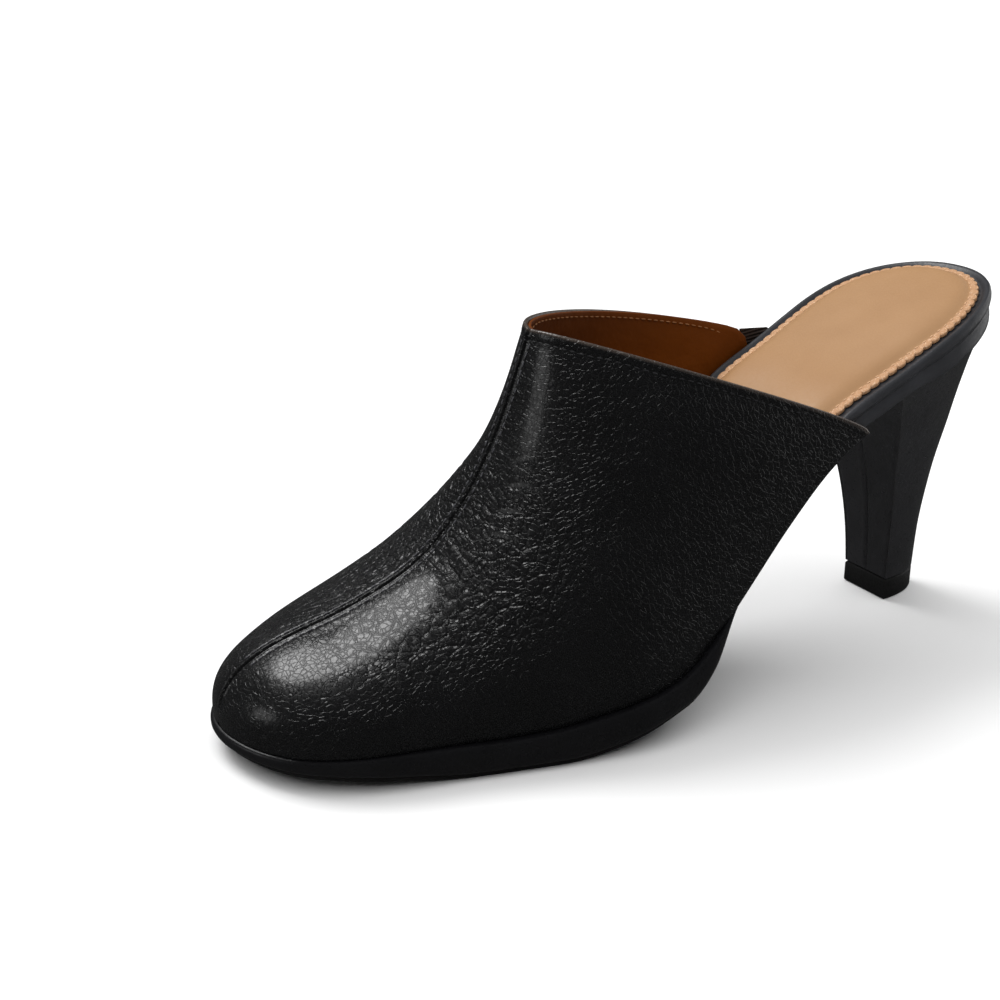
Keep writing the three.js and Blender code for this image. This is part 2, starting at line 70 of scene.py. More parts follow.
OUTLINE = table(
    "at half centre",
    (0.0, 0.345, 0.0),
    (0.05, 0.355, 0.0),
    (0.1, 0.368, 0.005),
    (0.15, 0.379, 0.018),
    (0.2, 0.372, 0.033),
    (0.3, 0.356, 0.071),
    (0.4, 0.361, 0.112),
    (0.5, 0.394, 0.13),
    (0.55, 0.434, 0.12),
    (0.6, 0.466, 0.09),
    (0.65, 0.486, 0.042),
    (0.7, 0.496, -0.004),
    (0.75, 0.488, -0.037),
    (0.8, 0.464, -0.053),
    (0.85, 0.436, -0.055),
    (0.9, 0.41, -0.053),
    (0.95, 0.392, -0.06),
    (1.0, 0.39, -0.112),
)
PITCH = table(
    "at pitch",
    (0.0, 1.0),
    (0.05, 0.96),
    (0.15, 0.86),
    (0.25, 0.747),
    (0.3, 0.695),
    (0.35, 0.615),
    (0.4, 0.483),
    (0.45, 0.33),
    (0.5, 0.193),
    (0.55, 0.1),
    (0.6, 0.057),
    (0.65, 0.03),
    (0.7, 0.008),
    (0.76, 0.0),
    (0.85, 0.006),
    (1.0, -0.012),
)
RAND_EDGE = table(
    "out up",
    (-1.3, 0.0),
    (-0.45, 0.0),
    (-0.12, 0.03),
    (0.1, 0.08),
    (0.19, 0.15),
    (0.16, 0.25),
    (0.05, 0.36),
    (-0.1, 0.46),
    (-0.3, 0.54),
    (-0.48, 0.6),
    (-0.45, 0.66),
    (-0.15, 0.71),
    (0.05, 0.77),
    (0.13, 0.86),
    (0.08, 0.95),
    (-0.14, 1.05),
    (-0.55, 1.12),
    (-1.1, 1.14),
    (-1.7, 1.11),
    (-2.2, 1.04),
    (-2.6, 1.0),
)


def smoothstep(value, start, end):
    t = np.clip((value - start) / (end - start), 0, 1)
    return t * t * (3 - 2 * t)


def mix(a, b, t):
    return a + (b - a) * t


def curve(rows, column, soft=0.012):
    """A smooth curve through a column that doesn't overshoot, its bends eased over the share soft."""
    x, y = rows["at"], rows[column]
    step, slope = np.diff(x), np.diff(y) / np.diff(x)
    before, after = slope[:-1], slope[1:]
    w1, w2 = 2 * step[1:] + step[:-1], step[1:] + 2 * step[:-1]
    with np.errstate(divide="ignore", invalid="ignore"):
        bend = (w1 + w2) / (w1 / before + w2 / after)
    tangent = np.concatenate(([slope[0]], np.where(before * after > 0, bend, 0), [slope[-1]]))
    span = x[-1] - x[0]
    fine = np.linspace(x[0] - span / 10, x[-1] + span / 10, 2401)
    v = np.clip(fine, x[0], x[-1])
    i = np.clip(np.searchsorted(x, v) - 1, 0, len(step) - 1)
    h = step[i]
    t = (v - x[i]) / h
    value = y[i] * (1 + 2 * t) * (1 - t) ** 2 + tangent[i] * h * t * (1 - t) ** 2
    value += y[i + 1] * t * t * (3 - 2 * t) + tangent[i + 1] * h * t * t * (t - 1)
    value += (fine - v) * np.where(fine < v, slope[0], slope[-1])
    reach = np.arange(-120, 121) * (fine[1] - fine[0])
    weight = np.exp(-0.5 * (reach / (soft * span)) ** 2)
    eased = np.convolve(np.pad(value, 120, mode="edge"), weight / weight.sum(), mode="valid")
    return lambda at: np.interp(at, fine, eased)


def rounded_end(share, length, power, root):
    inward = np.clip(1 - share / length, 0, 1)
    return (1 - inward**power) ** (1 / root)


half_share = curve(OUTLINE, "half")
centre_share = curve(OUTLINE, "centre")
pitch = curve(PITCH, "pitch")


def half(x):
    heel_end = rounded_end(x / LENGTH, 0.13, 2.2, 2.2)
    toe_end = rounded_end(1 - x / LENGTH, 0.18, 2.6, 2.0)
    return BALL_WIDTH * half_share(x / LENGTH) * heel_end * toe_end


def centre(x):
    return BALL_WIDTH * centre_share(x / LENGTH)


def feather(x):
    return STACK + (HEEL_HEIGHT - STACK) * pitch(x / LENGTH)


def wrap(x):
    return (WALL + GAP) * smoothstep(x / LENGTH, 0.3, 0.52)


def board_height(x):
    return mix(RAND, INSOLE_BOARD, smoothstep(x / LENGTH, 0.3, 0.5))


def outline(phi, side):
    x = LENGTH * (1 - np.cos(phi)) / 2
    turned = np.where((phi < 0) | (phi > math.pi), -side, side)
    return np.stack([x, centre(x) + turned * half(x)], -1)


def rim(x, side, out):
    """The last's outline at x, moved outwards along its normal."""
    phi = np.arccos(np.clip(1 - 2 * x / LENGTH, -1, 1))
    step = 2e-3
    along = outline(phi + step, side) - outline(phi - step, side)
    along /= np.linalg.norm(along, axis=-1, keepdims=True)
    normal = np.stack([-along[..., 1], along[..., 0]], -1) * side
    return outline(phi, side) + normal * np.asarray(out)[..., None]


def stations(start, end, count):
    """Places along the foot between start and end, close together at both round ends of the last."""
    first, last = (math.acos(1 - 2 * x / LENGTH) for x in (start, end))
    return LENGTH * (1 - np.cos(np.linspace(first, last, count))) / 2


def ring(xs, out, height):
    """A closed ring round the last: up its outer side and back along its inner side."""
    out = np.broadcast_to(out, xs.shape)
    sides = [rim(xs, 1, out), rim(xs, -1, out)[::-1]]
    flat = np.concatenate(sides)
    return np.column_stack([flat, height(flat[:, 0])])


def edged(xs, profile, beyond, low, high):
    """Rings of an edge: the profile's out is added to beyond, and its up is a share from low to high."""
    rings = []
    for out, up in zip(profile["out"], profile["up"]):
        rings.append(ring(xs, out + beyond, lambda x: mix(low(x), high(x), up)))
    return rings


def joined(rings):
    """Points of closed rings one above another, and the faces between them."""
    count = len(rings[0])
    faces = []
    for low in range(0, (len(rings) - 1) * count, count):
        for i in range(count):
            k = (i + 1) % count
            faces.append((low + i, low + k, low + count + k, low + count + i))
    return np.concatenate(rings), faces


def loft(rings):
    """Rings round the last, closed from side to side at both ends."""
    points, faces = joined(rings)
    count = len(rings[0])
    for base in (0, len(points) - count):
        for i in range(count // 2 - 1):
            faces.append((base + i, base + i + 1, base + count - 2 - i, base + count - 1 - i))
    return points, faces


def place(points):
    return (np.asarray(points) - (ORIGIN_X, 0, 0)) / 1000


def put(name, data):
    """A new object that holds the data, linked into the scene."""
    made = bpy.data.objects.new(name, data)
    bpy.context.collection.objects.link(made)
    return made


def make(name, points, faces, material, crease=40):
    """A piece from points in the last's millimetres, smooth but for edges sharper than crease degrees."""
    mesh = bpy.data.meshes.new(name)
    mesh.from_pydata(place(points).tolist(), [], faces)
    work = bmesh.new()
    work.from_mesh(mesh)
    bmesh.ops.remove_doubles(work, verts=work.verts, dist=4e-6)
    bmesh.ops.dissolve_degenerate(work, edges=work.edges, dist=1e-6)
    bmesh.ops.recalc_face_normals(work, faces=work.faces)
    work.to_mesh(mesh)
    work.free()
    mesh.shade_smooth()
    mesh.set_sharp_from_angle(angle=math.radians(crease))
    mesh.materials.append(material)
    return put(name, mesh)


def add(tree, kind, *settings, **inputs):
    """A node with settings as (name, value) pairs and inputs by name, linked where one is a socket."""
    made = tree.nodes.new(kind)
    for key, value in settings:
        setattr(made, key, value)
    for key, value in inputs.items():
        key = int(key[1:]) if key[1:].isdigit() else key.replace("_", " ")
        if isinstance(value, bpy.types.NodeSocket):
            tree.links.new(value, made.inputs[key])
        else:
            made.inputs[key].default_value = value
    return made


def finish_named(name, roughness, specular, coat=0.0, coat_roughness=0.2):
    """A new material with its shader, whose even values are set on the shader's own sockets."""
    material = bpy.data.materials.new(name)
    material.use_nodes = True
    tree = material.node_tree
    shader = tree.nodes["Principled BSDF"]
    shader.inputs["Roughness"].default_value = roughness
    shader.inputs["Specular IOR Level"].default_value = specular
    shader.inputs["Coat Weight"].default_value = coat
    shader.inputs["Coat Roughness"].default_value = coat_roughness
    return material, tree, shader


def link(tree, shader, socket, value):
    tree.links.new(value, shader.inputs[socket])


def in_millimetres(tree):
    """The place on the piece in millimetres, so that a scale of 1 is a pattern of about one millimetre."""
    coordinates = add(tree, "ShaderNodeTexCoord")
    scaled = add(tree, "ShaderNodeVectorMath", ("operation", "SCALE"), i0=coordinates.outputs["Object"])
    scaled.inputs["Scale"].default_value = 1000
    return scaled.outputs[0]


def ranged(tree, value, low, high, to_low, to_high):
    """The value taken from one range smoothly to another."""
    mapped = add(
        tree,
        "ShaderNodeMapRange",
        ("interpolation_type", "SMOOTHSTEP"),
        Value=value,
        From_Min=low,
        From_Max=high,
        To_Min=to_low,
        To_Max=to_high,
    )
    return mapped.outputs[0]


def raised(tree, height, depth, under=None):
    """A bump of that depth in millimetres, over another bump if one is given."""
    bump = add(tree, "ShaderNodeBump", Height=height, Distance=depth / 1000)
    if under is not None:
        tree.links.new(under, bump.inputs["Normal"])
    return bump.outputs[0]


def noise(tree, at, scale, detail):
    return add(tree, "ShaderNodeTexNoise", Vector=at, Scale=scale, Detail=detail).outputs["Fac"]


def tinted(tree, value, dark, light):
    """A colour between two, as the value goes from 0 to 1."""
    blend = add(tree, "ShaderNodeMix", ("data_type", "RGBA"))
    tree.links.new(value, blend.inputs["Factor"])
    blend.inputs["A"].default_value = (*dark, 1)
    blend.inputs["B"].default_value = (*light, 1)
    return blend.outputs["Result"]


def smooth_leather(name, dark, light):
    """Smooth black calf: faint pores, a few soft wrinkles and a satin finish."""
    material, tree, shader = finish_named(name, 0.34, 0.45, coat=0.15, coat_roughness=0.22)
    at = in_millimetres(tree)
    cloud = noise(tree, at, 0.09, 3.0)
    grain = noise(tree, at, 1.6, 4.0)
    pores = add(tree, "ShaderNodeTexVoronoi", Vector=at, Scale=1.5).outputs["Distance"]
    link(tree, shader, "Base Color", tinted(tree, cloud, dark, light))
    link(tree, shader, "Roughness", ranged(tree, grain, 0.3, 0.7, 0.27, 0.42))
    soft = raised(tree, cloud, 0.35)
    fine = raised(tree, grain, 0.035, soft)
    link(tree, shader, "Normal", raised(tree, pores, 0.012, fine))
    return material


def rand_leather_painted_sheen():
    """The rand's leather, satin, its base colour painted greyer and bluer than the calf's as a painted sheen.
    """
    material, tree, shader = finish_named("rand leather with painted sheen", 0.42, 0.5, coat=0.1, coat_roughness=0.25)
    at = in_millimetres(tree)
    cloud = noise(tree, at, 0.14, 3.0)
    grain = noise(tree, at, 1.4, 4.0)
    # Painted sheen: this base colour is several times lighter than the calf's, standing in for light the
    # rand's edge catches.
    tint = tinted(tree, cloud, (0.015, 0.0155, 0.0175), (0.036, 0.037, 0.042))
    link(tree, shader, "Base Color", tint)
    link(tree, shader, "Roughness", ranged(tree, grain, 0.3, 0.7, 0.34, 0.48))
    link(tree, shader, "Normal", raised(tree, grain, 0.05))
    return material


SMOOTH_BLACK = smooth_leather("smooth black leather", (0.0025, 0.0025, 0.003), (0.006, 0.006, 0.007))


def seat_low(x):
    """The lower edge of the rand: it reaches over the heel's top at the seat."""
    return feather(x) - SEAT_DROP * (1 - smoothstep(x, SEAT_DROP_FROM, SEAT_DROP_TO))


def board_top(x):
    return feather(x) + board_height(x)


xs = stations(0, LENGTH, RAND_STATIONS)
rand_rings = edged(xs, RAND_EDGE, -wrap(xs), seat_low, board_top)
rand = make("rand", *loft(rand_rings), rand_leather_painted_sheen())
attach(rand, "root")
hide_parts("seat_board")


# Sock
# A thin sheet of light tan leather glued to the board, its edge pinked into small rounded scallops. Only this
# pale border of it shows round the padding.
SOCK = 0.9
SOCK_MARGIN = 3.2
SCALLOP_PITCH = 3.0
SCALLOP_DEPTH = 1.0
SCALLOP_POWER = 2.3
SOCK_STATIONS = 1301
SOCK_EDGE = table("out up", (0.0, 0.0), (0.0, 0.55), (-0.12, 0.8), (-0.4, 0.95), (-1.2, 1.0))


def scallops(xs, side):
    """How far the pinked edge stands out at each station, from 0 in a notch to 1 on a scallop."""
    edge = rim(xs, side, -SOCK_MARGIN - wrap(xs))
    walked = np.concatenate(([0], np.cumsum(np.linalg.norm(np.diff(edge, axis=0), axis=1))))
    share = walked / SCALLOP_PITCH % 1
    return np.sqrt(np.clip(1 - np.abs(2 * share - 1) ** SCALLOP_POWER, 0, 1))


def pinked_leather():
    """Light tan calf along the sock's cut edge, paler and redder than the padding over it, with pale specks
    on its raised grain as painted glints.
    """
    material, tree, shader = finish_named("pinked tan edge", 0.55, 0.3)
    at = in_millimetres(tree)
    speck = noise(tree, at, 2.4, 2.0)
    # Painted glints: the colour turns pale where the speck bump stands high.
    tint = tinted(tree, ranged(tree, speck, 0.5, 0.75, 0, 1), (0.43, 0.235, 0.12), (0.68, 0.48, 0.32))
    link(tree, shader, "Base Color", tint)
    link(tree, shader, "Normal", raised(tree, speck, 0.16))
    return material


def sock_low(x):
    return board_top(x) + GAP


def sock_top(x):
    return sock_low(x) + SOCK


xs = stations(0, LENGTH, SOCK_STATIONS)
out_there = np.concatenate([scallops(xs, 1), scallops(xs, -1)[::-1]])[:, None]
wide = edged(xs, SOCK_EDGE, -SOCK_MARGIN - wrap(xs), sock_low, sock_top)
narrow = edged(xs, SOCK_EDGE, -SOCK_MARGIN - SCALLOP_DEPTH - wrap(xs), sock_low, sock_top)
sock_rings = [mix(notched, full, out_there) for notched, full in zip(narrow, wide)]
sock = make("pinked_sock", *loft(sock_rings), pinked_leather())
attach(sock, "root")
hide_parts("sock")


# Sock padding
# The padded middle of the sock: light tan leather over a thin foam, crowned and pressed down all round. It
# ends under the vamp, past the foot's ball.
PAD = 1.8
PAD_MARGIN = 2.7
PAD_END = 0.72
PAD_STATIONS = 181
PAD_EDGE = table(
    "out up",
    (0.5, -0.16),
    (0.2, -0.1),
    (-0.15, 0.02),
    (-0.6, 0.19),
    (-1.2, 0.39),
    (-2.0, 0.61),
    (-3.0, 0.81),
    (-4.4, 0.97),
    (-6.5, 1.08),
    (-9.5, 1.16),
    (-13.0, 1.2),
)


def pad_low(x):
    return sock_top(x) + GAP


def pad_top(x):
    return pad_low(x) + PAD


def tan_leather():
    """Light tan calf with a soft sheen, a little darker and warmer in its clouds."""
    material, tree, shader = finish_named("tan sock leather", 0.5, 0.35)
    at = in_millimetres(tree)
    cloud = noise(tree, at, 0.06, 4.0)
    grain = noise(tree, at, 1.3, 5.0)
    pores = add(tree, "ShaderNodeTexVoronoi", Vector=at, Scale=1.8).outputs["Distance"]
    tint = tinted(tree, cloud, (0.315, 0.17, 0.076), (0.39, 0.225, 0.11))
    link(tree, shader, "Base Color", tint)
    link(tree, shader, "Roughness", ranged(tree, grain, 0.3, 0.7, 0.42, 0.58))
    fine = raised(tree, grain, 0.05)
    link(tree, shader, "Normal", raised(tree, pores, 0.02, fine))
    return material


xs = stations(0, PAD_END * LENGTH, PAD_STATIONS)
pad_rings = edged(xs, PAD_EDGE, -SOCK_MARGIN - PAD_MARGIN - wrap(xs), pad_low, pad_top)
sock_pad = make("padded_sock_middle", *loft(pad_rings), tan_leather())
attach(sock_pad, "root")
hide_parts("sock_pad")


# Upper
# Two halves of black milled leather sewn together down the front, pulled over the last and folded over at
# the topline. Milling leaves pebbles and creases that are strongest where the vamp bends.
VAMP_RISE = 81
LEATHER = 1.05
UPPER_ROWS_TOE = 40
UPPER_ROWS_BACK = 26
UPPER_COLUMNS = 96
RIBS = table(
    "at crown outer inner rise aside outer_full inner_full outer_swell inner_swell bow lift",
    (0, 1.0, 1.0, 1.0, 0.238, -0.112, 2.3, 2.3, 0.02, 0.02, 0, 0),
    (1, 0.936, 0.936, 0.936, 0.24, -0.092, 2.25, 2.32, 0.02, 0.018, 0, 0),
    (2, 0.88, 0.875, 0.875, 0.252, -0.078, 2.2, 2.5, 0.02, 0.015, 0, 0),
    (3, 0.826, 0.808, 0.803, 0.303, -0.06, 2.15, 2.52, 0.02, 0.012, 0, 0),
    (4, 0.775, 0.74, 0.727, 0.378, -0.045, 2.1, 2.6, 0.022, 0.03, 0, 0),
    (5, 0.734, 0.672, 0.65, 0.48, -0.034, 2.1, 2.8, 0.025, 0.045, 0.008, 0),
    (6, 0.7, 0.597, 0.565, 0.605, -0.027, 2.1, 2.9, 0.028, 0.06, 0.014, 0.005),
    (7, 0.674, 0.513, 0.472, 0.738, -0.018, 2.05, 2.55, 0.036, 0.06, 0.018, 0.015),
    (8, 0.655, 0.413, 0.366, 0.87, -0.01, 2.05, 2.15, 0.042, 0.08, 0.026, 0.045),
    (9, 0.638, 0.283, 0.247, 1.0, -0.002, 2.05, 2.05, 0.034, 0.06, 0.034, 0.1),
)
BOW_POWER = 0.45
CORNER_SHARPNESS = 90
RIB_SAMPLES = 400
RIB_SPACING = 1.5
BELLY_SCALE = 16 / (3 * math.sqrt(3))
along_ribs = {name: curve(RIBS, name, 0.035) for name in RIBS if name != "at"}


def rib(q, side, shares):
    """Points of one rib of the upper, at shares of its length from the feather line to the front seam."""
    at = {name: float(value(q)) for name, value in along_ribs.items()}
    crown_x = LENGTH * min(at["crown"], 1)
    rise = VAMP_RISE * at["rise"] * rounded_end(1 - crown_x / LENGTH, 0.18, 3.0, 2.3)
    crown = np.array([crown_x, BALL_WIDTH * at["aside"], feather(crown_x) + rise])
    foot_x = LENGTH * min(at["outer" if side > 0 else "inner"], 1)
    foot = rim(np.array([foot_x]), side, WALL + GAP - wrap(foot_x))[0]
    reach = foot[1] - crown[1]
    swell = BALL_WIDTH * at["outer_swell" if side > 0 else "inner_swell"]
    swell *= min(1, abs(reach) / (BALL_WIDTH / 4))
    angle = math.pi / 2 * np.linspace(0, 1, RIB_SAMPLES) ** RIB_SPACING
    power = 2 / at["outer_full" if side > 0 else "inner_full"]
    up, out = np.sin(angle) ** power, np.clip(np.cos(angle), 0, 1) ** power
    belly = BELLY_SCALE * np.sin(angle) * np.cos(angle) ** 3
    arched = at["bow"] * np.clip(4 * up * (1 - up), 0, 1) ** BOW_POWER
    lifted = at["lift"] * (1 - up) * (1 - np.exp(-CORNER_SHARPNESS * up)) * (side < 0)
    points = np.column_stack(
        [
            mix(foot[0], crown[0], up),
            crown[1] + reach * out + side * swell * belly,
            mix(feather(foot_x), crown[2], up) + VAMP_RISE * (arched + lifted),
        ]
    )
    walked = np.concatenate(([0], np.cumsum(np.linalg.norm(np.diff(points, axis=0), axis=1))))
    wanted = walked[-1] * shares
    return np.column_stack([np.interp(wanted, walked, points[:, k]) for k in range(3)])


def rib_grid(rows, columns, start=0.0):
    """All ribs as rows: up the outer side, over the front seam and down the inner side."""
    share = 1 - (1 - start) * (1 - np.linspace(0, 1, columns)) ** RIB_SPACING
    grid = []
    for q in rows:
        outer, inner = rib(q, 1, share), rib(q, -1, share)
        grid.append(np.concatenate([outer, inner[-2::-1]]))
    return np.array(grid)


def grid_normals(grid):
    along = np.gradient(grid, axis=0)
    across = np.gradient(grid, axis=1)
    normal = np.cross(along, across)
    return normal / np.maximum(np.linalg.norm(normal, axis=2, keepdims=True), 1e-9)


def rib_rows(toe, back):
    """Places among the ribs: toe of them up to the first rib, then back of them from rib to rib."""
    spans = int(RIBS["at"][-1]) - 1
    return np.concatenate([(np.arange(1, toe + 1) / toe) ** 2, 1 + np.arange(1, spans * back + 1) / back])


def walked_from(grid, axis, start):
    """Distance along the rows or columns of a grid from a place on it, with its sign."""
    steps = np.linalg.norm(np.diff(grid, axis=axis), axis=2)
    zero = np.zeros((1, grid.shape[1])) if axis == 0 else np.zeros((grid.shape[0], 1))
    walked = np.concatenate([zero, np.cumsum(steps, axis=axis)], axis=axis)
    return walked - np.take(walked, [start], axis=axis)


SEAM_DEPTH = 0.8
SEAM_REACH = 0.36
SHOULDER = 0.2
SHOULDER_AT = 0.8
SHOULDER_REACH = 0.33
SEAM_STITCH = 1.9
TOPLINE_STITCH = 2.5
STITCH_PRESS = {"seam": (0.1, 0.35), "topline": (0.14, 0.4)}
FOLD = 1.1
FOLD_STEP = 0.16
CREASE_STRENGTH = 0.65
WAVES = 0.09
UPPER_ROLL_STEPS = 6

# Main creases of the vamp, listed one by one: along is the distance from the toe's tip and around the girth
# from the front seam to the outer side, turn is the angle to the girth in degrees.
CREASES = table(
    "along around turn length depth width bend",
    (66.5, 19, 6, 21, 0.13, 0.6, 1.4),
    (71, 15, 13, 17, 0.16, 0.5, 1.2),
    (73.4, 17, 15, 26, 0.2, 0.55, 1.8),
    (76.6, 12, 20, 14, 0.15, 0.45, 1.6),
    (79.2, 16, 19, 27, 0.22, 0.6, 2.2),
    (82.1, 11, 24, 15, 0.16, 0.45, 1.5),
    (84.3, 14, 22, 22, 0.19, 0.55, 2.3),
    (87.6, 10, 27, 13, 0.13, 0.45, 1.2),
    (90.2, 13, 25, 19, 0.15, 0.55, 1.9),
    (94.5, 10, 30, 12, 0.11, 0.5, 1.0),
    (60.5, 24, -3, 18, 0.12, 0.65, -1.2),
    (55, 20, -10, 15, 0.1, 0.6, -1.0),
    (77, 38, 32, 28, 0.13, 0.6, 2.5),
    (69, 45, 12, 24, 0.12, 0.6, -2.0),
    (84, 45, 50, 18, 0.1, 0.55, 1.0),
    (61, 51, -4, 22, 0.09, 0.6, 1.0),
    (73, -11, -12, 14, 0.16, 0.6, -1.2),
    (77.5, -12, -15, 18, 0.18, 0.6, -1.5),
    (82, -10, -18, 13, 0.16, 0.5, -1.2),
    (86.5, -12, -19, 16, 0.16, 0.6, -1.4),
    (67, -17, -6, 19, 0.14, 0.65, 0.6),
    (59, -21, 6, 16, 0.12, 0.6, 1.0),
)


def bell(distance, width):
    return np.exp(-((distance / width) ** 2))


def creased(along, around):
    """The creases as soft troughs, each between two low ridges."""
    height = np.zeros_like(along)
    for k in range(len(CREASES["along"])):
        c = {name: column[k] for name, column in CREASES.items()}
        turn = math.radians(c["turn"])
        du, dv = around - c["around"], along - c["along"]
        lengthwise = du * math.cos(turn) + dv * math.sin(turn)
        offset = dv * math.cos(turn) - du * math.sin(turn)
        offset = offset - c["bend"] * ((2 * lengthwise / c["length"]) ** 2 - 0.5)
        fade = np.exp(-((2 * lengthwise / c["length"]) ** 4))
        trough = bell(offset, c["width"])
        ridges = bell(np.abs(offset) - 2 * c["width"], c["width"])
        height += CREASE_STRENGTH * c["depth"] * fade * (0.45 * ridges - trough)
    return height


def broad_waves(along, around):
    """The slight unevenness of leather pulled over a last."""
    waves = np.sin(along / 9.1 + 0.7 * np.sin(around / 11)) * np.sin(around / 8.3 + 1.1)
    waves = waves + 0.6 * np.sin(along / 5.3 - around / 13 + 2) * np.cos(around / 6.1 + along / 17)
    return WAVES * waves


rows = rib_rows(UPPER_ROWS_TOE, UPPER_ROWS_BACK)
grid = rib_grid(rows, UPPER_COLUMNS)
normals = grid_normals(grid)
middle = UPPER_COLUMNS - 1
around = -walked_from(grid, 1, middle)
along = walked_from(grid, 0, 0)
along_seam = np.broadcast_to(along[:, middle : middle + 1], along.shape)
along_mixed = mix(along_seam, along, 0.35)
from_topline = along[-1:] - along
pressed, press_reach = STITCH_PRESS["seam"]
lift = -SEAM_DEPTH * bell(around, SEAM_REACH)
lift += SHOULDER * bell(np.abs(around) - SHOULDER_AT, SHOULDER_REACH)
lift -= pressed * bell(np.abs(around) - SEAM_STITCH, press_reach)
lift *= smoothstep(along, 1, 8)
pressed, press_reach = STITCH_PRESS["topline"]
lift += FOLD_STEP * smoothstep(FOLD + 0.5, from_topline - 0.4, from_topline + 0.4) * (from_topline < 3)
lift -= pressed * bell(from_topline - TOPLINE_STITCH, press_reach)
calm = smoothstep(from_topline, 2, 10) * smoothstep(along, 8, 30)
to_foot = np.minimum(around - around[:, -1:], around[:, :1] - around)
calm = calm * smoothstep(to_foot, 1, 8) * smoothstep(np.abs(around), 2, 5)
lift += calm * (creased(along_seam, around) + broad_waves(along_mixed, around))
outer_face = grid + normals * lift[..., None]


def rolled(edge, normal, beyond, thickness, steps):
    """Rows that roll an edge over its thickness along a half circle, beyond its end."""
    rows = []
    for angle in np.linspace(0, math.pi, steps)[1:-1]:
        inward = thickness / 2 * (1 - math.cos(angle))
        rows.append(edge - normal * inward + beyond * (thickness / 2 * math.sin(angle)))
    return rows


def shell(outer, inner, topline_rolls, foot_rolls):
    """A closed shell between two grids that open from one tip, with rolled edges."""
    count_rows, count = outer.shape[:2]
    points = [outer.reshape(-1, 3), inner.reshape(-1, 3)]
    faces = []
    index_outer = np.arange(count_rows * count).reshape(count_rows, count)
    index_inner = index_outer + count_rows * count
    total = 2 * count_rows * count

    def quads(index, flip):
        a, b = index[:-1, :-1].ravel(), index[1:, :-1].ravel()
        c, d = index[1:, 1:].ravel(), index[:-1, 1:].ravel()
        stack = np.stack([a, b, c, d] if not flip else [a, d, c, b], 1)
        faces.extend(map(tuple, stack.tolist()))

    quads(index_outer, False)
    quads(index_inner, True)
    for edge_outer, edge_inner, rolls in (
        (index_outer[-1], index_inner[-1], topline_rolls),
        (index_outer[:, 0], index_inner[:, 0], foot_rolls[0]),
        (index_outer[:, -1], index_inner[:, -1], foot_rolls[1]),
    ):
        band = [edge_outer]
        for roll in rolls:
            band.append(np.arange(total, total + len(roll)))
            points.append(roll)
            total += len(roll)
        band.append(edge_inner)
        quads(np.array(band), False)
    tips = [outer[0].mean(0), inner[0].mean(0)]
    points.append(np.array(tips))
    for i in range(count - 1):
        faces.append((int(index_outer[0, i + 1]), total, int(index_outer[0, i])))
        faces.append((int(index_inner[0, i]), total + 1, int(index_inner[0, i + 1])))
    return np.concatenate(points), faces


def with_rolls(outer, inner, normal, thickness, steps):
    """A closed shell between two grids, its topline and its feather edges rolled."""
    beyond = outer[-1] - outer[-3]
    beyond /= np.linalg.norm(beyond, axis=1, keepdims=True)
    topline = rolled(outer[-1], normal[-1], beyond, thickness, steps)
    feet = []
    for end, step in ((0, 2), (-1, -3)):
        down = outer[:, end] - outer[:, step]
        down /= np.maximum(np.linalg.norm(down, axis=1, keepdims=True), 1e-9)
        down *= smoothstep(np.arange(len(outer)), 0, 12)[:, None]
        feet.append(rolled(outer[:, end], normal[:, end], down, thickness, steps))
    return shell(outer, inner, topline, feet)


